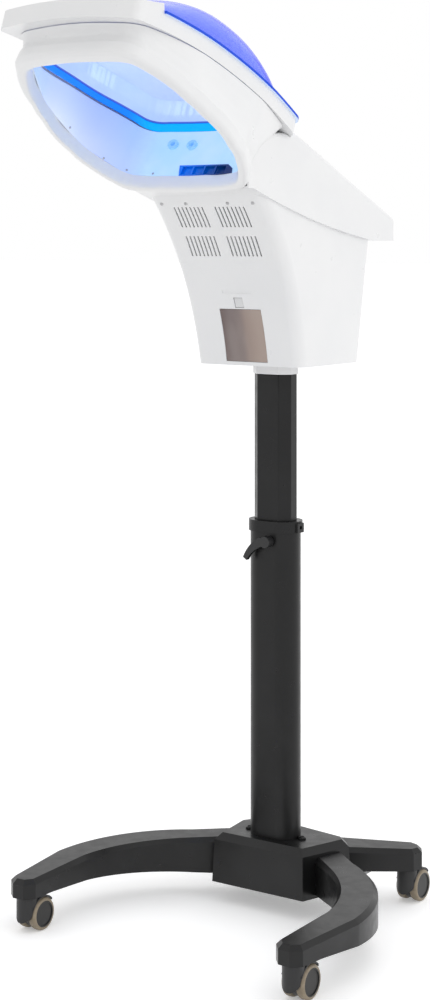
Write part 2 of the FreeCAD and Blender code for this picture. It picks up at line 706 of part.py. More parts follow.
# Water tank with its front curved like the housing, and the latch above it
tank_wall = head_core(0, tank_low_z + tank_play, tank_top_z - tank_play)
tank_half = tank_half_w - tank_play
tank_front = front_y(tank_low_z)
tank_rear = tank_front + tank_depth
tank_out = tank_wall.common(box(-tank_half, tank_half, -300, tank_rear, 0, 2000))
hollow = head_core(tank_t + 1, tank_low_z + tank_play + tank_t, tank_top_z + 40)
hollow = hollow.common(box(-tank_half + tank_t, tank_half - tank_t, -300, tank_rear - tank_t, 0, 2000))
keep("water_tank", tank_out.cut(hollow))

latch = head_core(1.0, tank_top_z + 2 + tank_play, tank_top_z + 2 + latch_h - tank_play)
latch_back = front_y(tank_top_z + latch_h / 2) + 12
latch = latch.common(box(-latch_half_w + tank_play, latch_half_w - tank_play, -300, latch_back, 0, 2000))
keep("tank_latch", latch)

# Rear cover: a wedge over the works that ends in a deep lip behind the housing
def cover_volume(wall):
    lip_low = seam_rear_z - (1 if wall else 0)
    front_low = seam_rear_z - 60
    corner = (cover_rear_y - wall, cover_rear_top_z - wall)
    low, middle, high = cover_nose
    stops = [(cover_front[0] + wall, cover_front[1] - wall), corner, (cover_rear_y - wall, lip_low),
             (cover_rear_y - wall, front_low), (low[0], front_low), low, middle, (high[0], high[1] - wall)]
    body = across([side_line(a, b) for a, b in zip(stops, stops[1:] + stops[:1])], cover_half - wall)
    if wall == 0:
        rounds = [e for e in body.Edges if abs(abs(e.CenterOfMass.x) - cover_half) < 0.1
                  and e.CenterOfMass.z > 1085 and e.CenterOfMass.y > high[0]]
        rounds += [e for e in body.Edges if e.BoundBox.XLength > 100 and e.CenterOfMass.y > cover_rear_y - 1
                   and e.CenterOfMass.z > 1090]
        body = body.makeFillet(cover_edge_r, rounds)
    return body


lid_room = tilted(slab(rounded(mirrored(inset(lid_outline, -lid_gap))), -120, 160), lid_tilt, lid_y, lid_z)
lid_room = lid_room.cut(ball(0))
cover_block = cover_volume(0).common(above_seam).cut([hood_outer, lid_room])
ledge = cover_block.cut(above_seam.translated(V(0, 0, cover_ledge)))
ledge = ledge.cut(head_core(shell_t, body_low_z, front_top_z + 150))
cover = cover_block.cut(cover_volume(shell_t)).fuse(ledge)
slope = math.atan2(cover_front[1] - cover_rear_top_z, cover_rear_y - cover_front[0])
normal = V(0, math.sin(slope), math.cos(slope))


def on_slope(x, y, height):
    """A point above the cover's rear slope, measured square to it."""
    z = cover_front[1] - (y - cover_front[0]) * math.tan(slope)
    return V(x, y, z) + normal * height


def slope_rod(radius, x, y, low, high):
    return Part.makeCylinder(radius, high - low, on_slope(x, y, low), normal)


def slope_block(half_x, half_v, x, y, low, high):
    block = box(-half_x, half_x, -half_v, half_v, low, high)
    block.rotate(V(0, 0, 0), V(1, 0, 0), -math.degrees(slope))
    block.translate(on_slope(x, y, 0))
    return block


cover = cover.cut([slope_rod(control_shaft_r + 0.5, knob_x, knob_y, -20, 5),
                   slope_rod(button_r + 0.4, button_x, knob_y, -20, 5),
                   slope_block(rocker_half[0] + 0.9, rocker_half[1] + 0.9, rocker_x, knob_y, -20, 5)])

# Hinge ears on the cover and lid, with a pin through each pair
pins = []
lid_ear_x = ear_x - ear_w - 0.5
for side in (1, -1):
    low, high = sorted((side * (ear_x - ear_w / 2), side * (ear_x + ear_w / 2)))
    knuckle = rod(ear_r, (low, pivot_y, pivot_z), (high, pivot_y, pivot_z))
    knuckle = knuckle.fuse(box(low, high, pivot_y - 2, pivot_y + ear_r, pivot_z - 30, pivot_z))
    cover = cover.fuse(knuckle.cut([cover_volume(shell_t), hood_outer, lid_room]))
    cover = cover.cut(rod(pivot_r, (low - 20, pivot_y, pivot_z), (high + 20, pivot_y, pivot_z)))
    pins.append(rod(pivot_r, (side * (lid_ear_x - ear_w / 2), pivot_y, pivot_z),
                    (side * (ear_x + ear_w / 2), pivot_y, pivot_z)))
board_low = -shell_t - board_drop
for side in (1, -1):
    for place in (-20, 20):
        cover = cover.fuse(slope_rod(3.5, side * 70, knob_y + place, board_low, 0.5 - shell_t))
keep("rear_cover", max(cover.Solids, key=lambda solid: solid.Volume))
keep("hinge_pins", Part.makeCompound(pins))

# Hood: outer shell, rolled rim round the opening, tinted liner
rim_cut = tilted(slab(rounded(mirrored(inset(rim_outline, -30))), -30, rim_h), rim_tilt, rim_y, rim_z)
throat = Part.makeLoft([rim_plane(inset(rim_outline, rim_inset), -4), rim_plane(opening_outline, rim_h - 1),
                        rim_plane(opening_outline, rim_h + 6)], True, True)
keep("hood_rim", hood_outer.common(rim_cut).cut(throat))

duct = box(grille_x[0], grille_x[1], -300, -60, rim_z - 57, rim_z - 5)
hollow = hood_volume(shell_t, 1)
shell = hood_outer.cut(rim_cut).cut(hollow).common(ball(0))
notches = [rod(notch_r, (side * 118, -150, 1233), (side * 140, -150, 1233)) for side in (1, -1)]
keep("hood_shell", shell.cut([duct] + notches))


def liner_volume(wall):
    """A straight funnel from the opening to just below the lid's skirt."""
    low = rim_plane(inset(opening_outline, wall - 2), rim_h + 0.3 - min(max(wall, 0), 1))
    return Part.makeLoft([low, lid_plane(inset(skirt_outline, wall - skirt_play), 0)], True, True)


def in_plane(tilt, y, z, along_it, height):
    """The point of the middle plane that a tilted drawing has at a place along it and a height."""
    a = math.radians(tilt)
    return V(0, y + along_it * math.cos(a) + height * math.sin(a),
             z - along_it * math.sin(a) + height * math.cos(a))


wall_low = in_plane(rim_tilt, rim_y, rim_z, opening_outline[-1][1] + 2, rim_h)
wall_high = in_plane(lid_tilt, lid_y, lid_z, skirt_outline[-1][1] + skirt_play, 0)
wall_up = (wall_high - wall_low).normalize()
wall_in = V(0, -wall_up.z, wall_up.y)


def on_wall(x, rise, out):
    """A point on the liner's rear wall: sideways, up along it and out into the hood."""
    return V(x, 0, 0) + wall_low + wall_up * rise + wall_in * out


liner = liner_volume(0).cut(liner_volume(liner_t)).common(ball(-skirt_drop - 2))
window = [V(x, 0, on_wall(0, rise, 0).z) for x, rise in (
    (grille_x[0], grille_low), (grille_x[1], grille_low), (grille_x[1] - 3, grille_high - 8),
    (grille_x[1] - 14, grille_high), (grille_x[0] - 6, grille_high))]
window = Part.Face(Part.makePolygon(window + window[:1])).extrude(V(0, 300, 0)).translated(V(0, -400, 0))
rear_part = box(-200, 200, -320, -100, 1000, 1300)
grille = window.common(liner_volume(0)).cut(liner_volume(liner_t + 1.0)).common(rear_part)
bay = (grille_x[1] - grille_x[0] - 14) / grille_slots
for i in range(grille_slots):
    x = grille_x[0] + 1.5 + i * bay
    z = on_wall(0, (grille_low + grille_high) / 2, 0).z
    grille = grille.cut(box(x, x + bay - 3, -400, -100, z - 6, z + 6))
liner = liner.cut(window.common(rear_part))
nozzles = []
for x in nozzle_x:
    start, end = on_wall(x, nozzle_rise, -nozzle_len), on_wall(x, nozzle_rise, 4 * nozzle_len)
    body = rod(nozzle_r, start, end).cut(liner_volume(liner_t + nozzle_len))
    liner = liner.cut(body)
    nozzles.append(body.cut(rod(nozzle_bore_r, start + wall_in * 4, end)))
keep("hood_liner", liner)
keep("steam_nozzles", Part.makeCompound(nozzles))
keep("outlet_grille", grille)

# Lid: a frame on the seat's sphere with a raised bar at the front, and the clear sheet with its dome on top
top_r = lid_gap + lid_h
whole = tilted(slab(rounded(mirrored(lid_outline)), -120, 160), lid_tilt, lid_y, lid_z)
well = tilted(slab(rounded(mirrored(skirt_outline)), -121, 161), lid_tilt, lid_y, lid_z)
frame = whole.cut(well).common(ball(top_r)).cut(ball(lid_gap))
cap_zone = box(-200, 200, -800, cap_end_y, 0, 2000)
bar = whole.common(cap_zone).cut(ball(top_r - cap_sink))
bar = bar.common(rod(cap_crown_r, (0, -900, cap_top_z - cap_crown_r), (0, 0, cap_top_z - cap_crown_r)))
frame = frame.fuse(bar)
lid_ears = []
for side in (1, -1):
    low, high = side * lid_ear_x - ear_w / 2, side * lid_ear_x + ear_w / 2
    knuckle = rod(ear_r, (low, pivot_y, pivot_z), (high, pivot_y, pivot_z))
    arm = box(low, high, pivot_y - 24, pivot_y, pivot_z - ear_r, pivot_z + ear_r)
    hinge_bore = rod(pivot_r + pivot_play, (low - 5, pivot_y, pivot_z), (high + 5, pivot_y, pivot_z))
    lid_ears.append(knuckle.fuse(arm))
    frame = frame.fuse(lid_ears[-1]).cut(hinge_bore)
keep("visor_frame", frame)


def ring_wire(height, front, rear, half, power):
    """Closed smooth wire in the lid's plane, square-shouldered where the power is high."""
    count = 24
    points = []
    for i in range(count):
        a = 2 * math.pi * (i + 0.5) / count
        x = math.copysign(abs(math.cos(a)) ** (2 / power), math.cos(a)) * half
        y = math.copysign(abs(math.sin(a)) ** (2 / power), math.sin(a)) * (rear - front) / 2
        points.append(V(x, (rear + front) / 2 + y, height))
    curve = Part.BSplineCurve()
    curve.interpolate(Points=points, PeriodicFlag=True)
    return tilted(Part.Wire(curve.toShape()), lid_tilt, lid_y, lid_z)


def dome_volume(wall):
    wires = []
    for height, front, rear, half, power in dome_rings:
        wires.append(ring_wire(height - wall, front + wall, rear - wall, half - wall, power))
    return Part.makeLoft(wires, True, False)


skirt_well = tilted(slab(rounded(mirrored(inset(skirt_outline, skirt_t))), -122, 162), lid_tilt, lid_y, lid_z)
sheet = tilted(slab(rounded(mirrored(inset(lid_outline, -flange_reach))), -120, 160), lid_tilt, lid_y, lid_z)
sheet = sheet.common(ball(top_r + flange_t)).cut(ball(top_r)).cut(cap_zone)
skirt = well.common(ball(top_r + 1)).cut([ball(-skirt_drop), skirt_well])
bulge = dome_volume(0).cut(ball(top_r)).cut(cap_zone)
dome = sheet.fuse([skirt, bulge]).cut(dome_volume(dome_t).cut(ball(top_r))).cut(bar)
keep("visor_dome", dome.cut(lid_ears))

# Works inside the head
keep("boiler", Part.makeCylinder(boiler_r, boiler_h, V(0, boiler_y, body_low_z + plate_t)).fuse(
    Part.makeCylinder(6, 18, V(0, boiler_y, body_low_z + plate_t + boiler_h))))
shelf = head_core(shell_t, shelf_z, shelf_z + shelf_t)
keep("equipment_shelf", shelf.cut(Part.makeCylinder(fan_bore_r, 20, V(0, fan_y, shelf_z - 5))))
fan_z = shelf_z + shelf_t
fan_half = fan_size / 2
fan_case = box(-fan_half, fan_half, fan_y - fan_half, fan_y + fan_half, fan_z, fan_z + fan_h)
fan_case = fan_case.cut(Part.makeCylinder(fan_bore_r, fan_h + 2, V(0, fan_y, fan_z - 1)))
spider = box(-fan_bore_r - 1, fan_bore_r + 1, fan_y - 3, fan_y + 3, fan_z, fan_z + 3)
spider = spider.fuse(Part.makeCylinder(fan_shaft_r, fan_h - 4, V(0, fan_y, fan_z)))
keep("fan_housing", fan_case.fuse(spider))
impeller = Part.makeCylinder(fan_hub_r, fan_h - 8, V(0, fan_y, fan_z + 5))
blade = box(fan_hub_r - 2, fan_bore_r - fan_tip_gap, -1.2, 1.2, -8, 8)
blade.rotate(V(0, 0, 0), V(1, 0, 0), 38)
for i in range(fan_blades):
    vane = blade.copy()
    vane.rotate(V(0, 0, 0), V(0, 0, 1), 360.0 * i / fan_blades)
    impeller = impeller.fuse(vane.translated(V(0, fan_y, fan_z + 5 + (fan_h - 8) / 2)))
keep("fan_impeller", impeller.cut(Part.makeCylinder(fan_shaft_r + 0.05, fan_h, V(0, fan_y, fan_z - 1))))
heater_z = fan_z + fan_h
heater_top = heater_z + heater_h
heater = box(-fan_half, fan_half, fan_y - fan_half, fan_y + fan_half, heater_z, heater_top)
inside = fan_half - heater_wall
heater = heater.cut(box(-inside, inside, fan_y - inside, fan_y + inside, heater_z - 1, heater_top + 1))
for i in range(heater_fins):
    x = (i - (heater_fins - 1) / 2) * (2 * inside - 4) / heater_fins
    fin = box(x - 1, x + 1, fan_y - inside - 1, fan_y + inside + 1, heater_z + 4, heater_top - 2)
    heater = heater.fuse(fin)
keep("heater", heater)

# Controls on the slope, the board under them and the power inlet
keep("control_board", slope_block(78, 26, 0, knob_y, board_low - 2, board_low))
knob_shaft = slope_rod(control_shaft_r, knob_x, knob_y, board_low + 0.3, 2)
keep("timer_knob", slope_rod(knob_r, knob_x, knob_y, 0.5, knob_h).fuse(knob_shaft))
keep("start_button", slope_rod(button_r, button_x, knob_y, board_low + button_travel + 0.3, 3.0))
rocker = slope_block(rocker_half[0], rocker_half[1], rocker_x, knob_y, -7, 2.5)
keep("power_switch", rocker)
inlet_y = rear_low_y + inlet_stand
inlet_foot = inlet_y - inlet_depth + 2 * inlet_wall


def inlet_block(wall, rear, front):
    x, z = inlet_half - wall, inlet_h / 2 - wall
    return box(-x, x, rear, front, inlet_z - z, inlet_z + z)


inlet = inlet_block(0, inlet_y - inlet_depth, inlet_y).cut(inlet_block(inlet_wall, inlet_foot, inlet_y + 1))
pin_z = inlet_z - 1.5
for x in (-6, 0, 6):
    inlet = inlet.fuse(rod(1.5, (x, inlet_foot - 1, pin_z), (x, inlet_foot - 1 + inlet_pin_len, pin_z)))
keep("power_inlet", inlet)

# Everything moves so that the origin lies under the middle of the machine
outermost = [shape for name, shape in pieces.items() if name.startswith(("visor", "tread", "rear"))]
reach = [shape.optimalBoundingBox() for shape in outermost]
column_y = -(min(extent.YMin for extent in reach) + max(extent.YMax for extent in reach)) / 2
for name, shape in pieces.items():
    shape.translate(V(0, column_y, 0))
    shape.exportStep("parts/" + name + ".step")
    if not shape.isValid():
        print("not valid:", name)
print("nodes", len(pieces), "column axis at y =", round(column_y, 3))
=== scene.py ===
import bmesh
import bpy
import json
import math
import numpy as np
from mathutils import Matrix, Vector

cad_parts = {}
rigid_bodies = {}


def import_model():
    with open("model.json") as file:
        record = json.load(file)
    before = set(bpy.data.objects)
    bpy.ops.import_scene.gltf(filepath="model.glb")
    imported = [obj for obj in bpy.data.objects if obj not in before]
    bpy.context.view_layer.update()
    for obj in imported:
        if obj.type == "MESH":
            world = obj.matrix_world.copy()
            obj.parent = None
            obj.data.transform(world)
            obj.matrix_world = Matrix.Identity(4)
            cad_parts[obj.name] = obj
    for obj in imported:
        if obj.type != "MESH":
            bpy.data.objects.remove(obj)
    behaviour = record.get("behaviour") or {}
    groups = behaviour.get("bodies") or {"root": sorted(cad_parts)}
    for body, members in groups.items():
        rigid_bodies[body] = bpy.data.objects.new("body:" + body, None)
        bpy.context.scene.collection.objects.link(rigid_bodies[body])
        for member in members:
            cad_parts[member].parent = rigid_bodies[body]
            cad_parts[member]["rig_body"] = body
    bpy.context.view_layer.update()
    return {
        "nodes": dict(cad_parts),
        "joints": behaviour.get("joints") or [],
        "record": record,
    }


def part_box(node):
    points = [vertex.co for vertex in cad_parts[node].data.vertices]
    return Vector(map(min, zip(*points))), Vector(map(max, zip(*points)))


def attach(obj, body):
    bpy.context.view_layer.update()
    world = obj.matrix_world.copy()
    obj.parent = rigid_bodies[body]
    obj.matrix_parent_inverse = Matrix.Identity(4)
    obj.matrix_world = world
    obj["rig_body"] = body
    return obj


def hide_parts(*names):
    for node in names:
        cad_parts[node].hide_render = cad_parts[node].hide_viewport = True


# Hood hair dryer on a rolling stand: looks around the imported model, in metres
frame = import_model()
nodes = frame["nodes"]
slotOf = {part["node"]: part["material_slot"] for part in frame["record"]["subparts"]}
mm = 0.001
print("frame loaded with", len(nodes), "nodes")

# Places that several pieces share, read from the frame
columnLow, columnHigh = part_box("outer_column")
columnY = (columnLow.y + columnHigh.y) / 2
jointAt = {joint["name"]: Vector(joint.get("pos_m", (0, 0, 0))) for joint in frame["joints"]}
jointAxis = {joint["name"]: Vector(joint["axis"]) for joint in frame["joints"]}

# The sphere that the lid is bent over, and how far outside it the clear sheet's flange lies
lid = {"centreY": columnY - 722.5 * mm, "centreZ": 200.54 * mm, "radius": 1190 * mm,
       "sheetLow": 24 * mm, "sheetHigh": 28 * mm}
leftFade = (-150 * mm, -60 * mm)    # where the hood's left side passes into its middle, along X


class Wire:
    # A shader socket that Python's operators work on; each operator adds one Math node
    def __init__(self, finish, socket):
        self.finish = finish
        self.socket = socket

    def maths(self, operation, *values):
        return self.finish.node("ShaderNodeMath", {"operation": operation}, dict(enumerate(values)))

    def __add__(self, other):
        return self.maths("ADD", self, other)

    def __sub__(self, other):
        return self.maths("SUBTRACT", self, other)

    def __rsub__(self, other):
        return self.maths("SUBTRACT", other, self)

    def __mul__(self, other):
        return self.maths("MULTIPLY", self, other)

    __radd__ = __add__
    __rmul__ = __mul__

    def step(self, low, high):
        # 0 below low, 1 above high, smooth between
        ends = {"Value": self, "From Min": low, "From Max": high}
        return self.finish.node("ShaderNodeMapRange", {"interpolation_type": "SMOOTHSTEP"}, ends)

    def band(self, low, high, soft):
        # 1 between low and high, fading to 0 over soft on either side
        return self.step(low - soft, low) * (1 - self.step(high, high + soft))


class Shading:
    # One node tree, and methods that add nodes to it
    def __init__(self, tree):
        self.tree = tree
        self.place = None

    def feed(self, socket, value):
        if isinstance(value, Wire):
            self.tree.links.new(value.socket, socket)
        elif socket.type == "RGBA":
            socket.default_value = tuple(value)[:3] + (1.0,)
        else:
            socket.default_value = value

    def node(self, kind, settings, inputs, output=0):
        made = self.tree.nodes.new(kind)
        for name, value in settings.items():
            setattr(made, name, value)
        for name, value in inputs.items():
            self.feed(made.inputs[name], value)
        return Wire(self, made.outputs[output])

    def where(self):
        if self.place is None:
            self.place = self.node("ShaderNodeTexCoord", {}, {}, "Object")
        return self.place

    def axes(self, spot=None):
        # X, Y and Z of a spot, or else of the point on the piece
        spot = spot or self.where()
        return [self.node("ShaderNodeSeparateXYZ", {}, {0: spot}, i) for i in range(3)]

    def noise(self, perMetre, detail=3.0, rough=0.5, stretch=(1, 1, 1)):
        spot = self.where()
        if stretch != (1, 1, 1):
            spot = self.node("ShaderNodeVectorMath", {"operation": "MULTIPLY"}, {0: spot, 1: stretch})
        ends = {"Vector": spot, "Scale": perMetre, "Detail": detail, "Roughness": rough}
        return self.node("ShaderNodeTexNoise", {}, ends)

    def mix(self, share, first, second):
        # Sockets 6 and 7 and output 2 of a Mix node are its colours
        return self.node("ShaderNodeMix", {"data_type": "RGBA"}, {0: share, 6: first, 7: second}, 2)


class Finish(Shading):
    # One material and its Principled shader
    def __init__(self, name, **sockets):
        self.material = bpy.data.materials.new(name)
        self.material.use_nodes = True
        super().__init__(self.material.node_tree)
        self.shader = self.tree.nodes["Principled BSDF"]
        self.set(**sockets)

    def set(self, **sockets):
        # Socket names in words joined by underscores, as in Base_Color
        for name, value in sockets.items():
            self.feed(self.shader.inputs[name.replace("_", " ")], value)

    def bump(self, height, strength, distance):
        ends = {"Height": height, "Strength": strength, "Distance": distance}
        self.set(Normal=self.node("ShaderNodeBump", {}, ends))


def fromLid(finish):
    # How far a point lies outside the sphere that the lid is bent over, in metres
    centre = (0, lid["centreY"], lid["centreZ"])
    away = finish.node("ShaderNodeVectorMath", {"operation": "SUBTRACT"}, {0: finish.where(), 1: centre})
    length = finish.node("ShaderNodeVectorMath", {"operation": "LENGTH"}, {0: away}, "Value")
    return length - lid["radius"]


# Finishes, by the record's slot names and three of their own: latch, nozzle and clear_blue_inside
finishes = {}
plastics = {
    "white_shell": {"name": "whiteShell", "color": (0.86, 0.862, 0.865), "shade": (0.84, 0.844, 0.85),
                    "rough": 0.27, "coat": 0.15},
    "grey_plastic": {"name": "paleGreyPlastic", "color": (0.56, 0.565, 0.57), "shade": (0.52, 0.525, 0.53),
                     "rough": 0.3},
    "latch": {"name": "latchPlastic", "color": (0.76, 0.765, 0.77), "shade": (0.72, 0.725, 0.73),
              "rough": 0.3},
    "black_plastic": {"name": "blackPlastic", "color": (0.012, 0.012, 0.0125),
                      "shade": (0.017, 0.017, 0.018), "rough": 0.36, "peel": 0.06 * mm},
    "wheel_core": {"name": "wheelCore", "color": (0.011, 0.0105, 0.01), "shade": (0.015, 0.014, 0.013),
                   "rough": 0.38, "peel": 0.05 * mm}}


def plasticFinish(name, color, shade, rough, peel=0.04 * mm, coat=0.0):
    # Moulded plastic: a faint cloud in the colour, slow changes of gloss and fine orange peel
    made = Finish(name, IOR=1.47, Coat_Weight=coat, Coat_Roughness=0.12)
    cloud = made.noise(perMetre=9.0, detail=2.0)
    made.set(Base_Color=made.mix(cloud.step(0.35, 0.7), color, shade))
    made.set(Roughness=made.noise(perMetre=35.0).step(0.2, 0.8) * 0.08 + rough)
    made.bump(made.noise(perMetre=420.0, detail=2.0), strength=0.35, distance=peel)
    return made.material


for slotName, plastic in plastics.items():
    finishes[slotName] = plasticFinish(**plastic)

coats = {
    "black_casting": {"name": "blackCasting", "color": (0.007, 0.007, 0.0073),
                      "worn": (0.011, 0.011, 0.0115), "rough": 0.27, "grain": 1500.0,
                      "depth": 0.03 * mm, "bend": 1.4},
    "black_tube": {"name": "blackTube", "color": (0.006, 0.006, 0.0063), "worn": (0.009, 0.009, 0.0094),
                   "rough": 0.27, "grain": 1900.0, "depth": 0.03 * mm, "bend": 1.36},
    "white_coat": {"name": "whiteCoat", "color": (0.8, 0.8, 0.805), "worn": (0.76, 0.76, 0.765),
                   "rough": 0.32, "grain": 1500.0, "depth": 0.04 * mm, "bend": 1.5}}


def coatFinish(name, color, worn, rough, grain, depth, bend):
    # Powder coat: fine even grain, and slow clouds of a slightly worn tone
    made = Finish(name, IOR=bend)
    speck = made.noise(perMetre=grain, detail=2.0, rough=0.6)
    cloud = made.noise(perMetre=14.0, detail=4.0)
    made.set(Base_Color=made.mix(cloud.step(0.4, 0.75), color, worn))
    made.set(Roughness=made.noise(perMetre=60.0).step(0.25, 0.75) * 0.1 + rough)
    made.bump(speck, strength=0.35, distance=depth)
    return made.material


for slotName, coat in coats.items():
    finishes[slotName] = coatFinish(**coat)

metals = {
    "steel": {"name": "brushedSteel", "color": (0.56, 0.56, 0.57), "rough": 0.24, "brushed": (1, 1, 0.06)},
    "aluminium": {"name": "plainAluminium", "color": (0.75, 0.75, 0.76), "rough": 0.3,
                  "brushed": (0.06, 1, 1)}}


def metalFinish(name, color, rough, brushed):
    # Metal with fine lines along the direction in which brushed is small
    made = Finish(name, Metallic=1.0)
    lines = made.noise(perMetre=900.0, rough=0.7, stretch=brushed)
    made.set(Base_Color=made.mix(lines, color, tuple(0.82 * c for c in color)))
    made.set(Roughness=lines * 0.2 + rough)
    made.bump(lines, strength=0.2, distance=0.03 * mm)
    return made.material


for slotName, metal in metals.items():
    finishes[slotName] = metalFinish(**metal)

tread = {"color": (0.29, 0.235, 0.165), "mottle": (0.235, 0.19, 0.13), "rough": 0.38}


def treadFinish():
    # Soft taupe rubber with a faint mottle and a dull bloom
    made = Finish("treadRubber", IOR=1.5)
    mottle = made.noise(perMetre=160.0, detail=4.0)
    made.set(Base_Color=made.mix(mottle.step(0.3, 0.7), tread["color"], tread["mottle"]))
    made.set(Roughness=made.noise(perMetre=70.0, detail=2.0).step(0.2, 0.8) * 0.15 + tread["rough"])
    made.bump(made.noise(perMetre=1100.0, detail=2.0), strength=0.3, distance=0.05 * mm)
    return made.material


finishes["tread_rubber"] = treadFinish()

# Clear dome: heights are from the lid's sphere, and rear is along Y from the column
dome = {"skirt": (0.01, 0.25, 0.98), "skirtRear": (0.0, 0.48, 0.97), "skirtTop": -13 * mm,
        "skirtEdge": 1 * mm, "skirtAlpha": 0.9, "lowerLeft": 6 * mm, "rear": (-260 * mm, -205 * mm),
        "line": (0.0, 0.055, 0.5), "lineShare": 0.85, "lineHalf": 1.5 * mm, "lineSoft": 0.6 * mm,
        "flangeShadow": (0.02, 0.1, 0.72), "flangeShadowShare": 0.9, "flangeAlpha": 0.85, "flangeSoft": 0.4 * mm}
domeOutside = {"body": (0.045, 0.08, 0.97), "deep": (0.065, 0.11, 0.975), "alpha": 0.71, "bend": 1.16,
               "glow": 0.0}
# The inside copy is paler and glows: painted light from inside the hood
domeInside = {"body": (0.68, 0.83, 1.0), "deep": (0.72, 0.86, 1.0), "alpha": 0.7, "bend": 1.4,
              "glow": 0.36}
domeMiddle = np.array([0, columnY - 310 * mm, 1295 * mm])    # a point under the dome


def domeFinish(name, body, deep, alpha, bend, glow):
    # Clear blue sheet, saturated down the skirt, whose top sinks towards the left, with a painted line of
    # shade along the fold there; the outside alone, without the painted glow, is darker along its flange in a
    # painted shadow
    made = Finish(name, IOR=bend, Roughness=0.12, Specular_IOR_Level=0.3, Emission_Strength=glow)
    out = fromLid(made)
    x, y = made.axes()[:2]
    top, half = dome["skirtTop"], dome["lineHalf"]
    down = out + (1 - x.step(*leftFade)) * dome["lowerLeft"]
    skirt = 1 - down.step(top - dome["skirtEdge"], top)
    # Painted shade: a dark line along the fold at the skirt's top
    line = down.band(top - half, top + half, dome["lineSoft"])
    # Painted shadow: a darker, more opaque line along the flange, on the outside only
    flangeShadow = out.band(lid["sheetLow"] - 0.2 * mm, lid["sheetHigh"] + 0.3 * mm, dome["flangeSoft"])
    cloud = made.noise(perMetre=14.0, detail=2.0, stretch=(1, 1, 3)).step(0.3, 0.7)
    color = made.mix(cloud, body, deep)
    if not glow:
        color = made.mix(flangeShadow * dome["flangeShadowShare"], color, dome["flangeShadow"])
        alpha = flangeShadow * (dome["flangeAlpha"] - alpha) + alpha
    rear = y.step(*[columnY + edge for edge in dome["rear"]])
    color = made.mix(skirt, color, made.mix(rear, dome["skirt"], dome["skirtRear"]))
    color = made.mix(line * dome["lineShare"], color, dome["line"])
    made.set(Base_Color=color)
    made.set(Emission_Color=color)
    made.set(Alpha=skirt * (dome["skirtAlpha"] - alpha) + alpha)
    made.bump(made.noise(perMetre=6.0, detail=1.0), strength=0.1, distance=0.2 * mm)
    return made.material


finishes["clear_blue"] = domeFinish("clearBlue", **domeOutside)
finishes["clear_blue_inside"] = domeFinish("clearBlueInside", **domeInside)

# Lining: depth is below the lid's sphere, corner along Y from the column, cornerLeft along X
lining = {"pale": (0.89, 0.94, 0.98), "blue": (0.34, 0.44, 1.0), "sky": (0.49, 0.79, 0.98), "glow": 0.18,
          "depth": (26 * mm, 95 * mm), "upperShare": 0.62, "skyShare": 0.55, "cloudShare": 0.3,
          "corner": (-400 * mm, -290 * mm), "cornerLeft": (-118 * mm, -70 * mm), "cornerShare": 0.5}


def liningFinish():
    # Pale gloss lining with painted blue light from the dome, high on the left side and in the rear left
    # corner, a cloudy sky blue of painted light over the rest, and a painted glow
    made = Finish("hoodLining", IOR=1.47, Roughness=0.22, Emission_Strength=lining["glow"])
    x, y = made.axes()[:2]
    depth = fromLid(made) * -1.0
    upper = 1 - depth.step(*lining["depth"])
    left = 1 - x.step(*leftFade)
    rear = y.step(*[columnY + edge for edge in lining["corner"]])
    corner = rear * (1 - x.step(*lining["cornerLeft"]))
    cloud = made.noise(perMetre=16.0, detail=2.0).step(0.25, 0.75)
    # Painted blue light from the dome, high on the left side
    color = made.mix(upper * lining["upperShare"] * left, lining["pale"], lining["blue"])
    sky = cloud * lining["cloudShare"] + lining["skyShare"]
    color = made.mix((1 - left) * sky, color, lining["sky"])
    color = made.mix(corner * lining["cornerShare"], color, lining["blue"])
    made.set(Base_Color=color)
    made.set(Emission_Color=color)
    return made.material


finishes["hood_lining"] = liningFinish()

louvre = {"dark": (0.0, 0.012, 0.09), "bright": (0.0, 0.16, 0.72), "fade": (-12 * mm, 80 * mm),
          "glow": 0.25}


def louvreFinish():
    # Dark blue louvre, brighter towards its left end in a painted highlight, with a glow of painted light
    made = Finish("darkBlue", IOR=1.47, Roughness=0.3, Emission_Strength=louvre["glow"])
    x = made.axes()[0]
    bright = 1 - x.step(*louvre["fade"])
    color = made.mix(bright, louvre["dark"], louvre["bright"])
    made.set(Base_Color=color)
    made.set(Emission_Color=color)
    made.bump(made.noise(perMetre=300.0, detail=2.0), strength=0.2, distance=0.05 * mm)
    return made.material


finishes["dark_blue"] = louvreFinish()

nozzle = {"color": (0.3, 0.6, 1.0), "cloud": (0.38, 0.68, 1.0), "glow": 0.2}


def nozzleFinish():
    # Pale blue moulded nozzle with a faint cloud in its colour, and a glow of painted light
    made = Finish("nozzleBlue", IOR=1.47, Roughness=0.25, Emission_Strength=nozzle["glow"])
    cloud = made.noise(perMetre=220.0, detail=2.0)
    color = made.mix(cloud.step(0.3, 0.7), nozzle["color"], nozzle["cloud"])
    made.set(Base_Color=color)
    made.set(Emission_Color=color)
    return made.material


finishes["nozzle"] = nozzleFinish()

# Tank: across and behind are along X, where painted light makes the wall paler and where the near side wall
# shows
tank = {"left": (0.17, 0.122, 0.115), "right": (0.45, 0.35, 0.3), "across": (-38 * mm, 34 * mm),
        "shade": (0.2, 0.165, 0.17), "behind": (-24 * mm, -6 * mm), "soft": 14 * mm, "shadeShare": 0.45,
        "haze": (0.5, 0.44, 0.4), "hazeShare": 0.25, "alpha": 0.94, "clearer": 0.06}


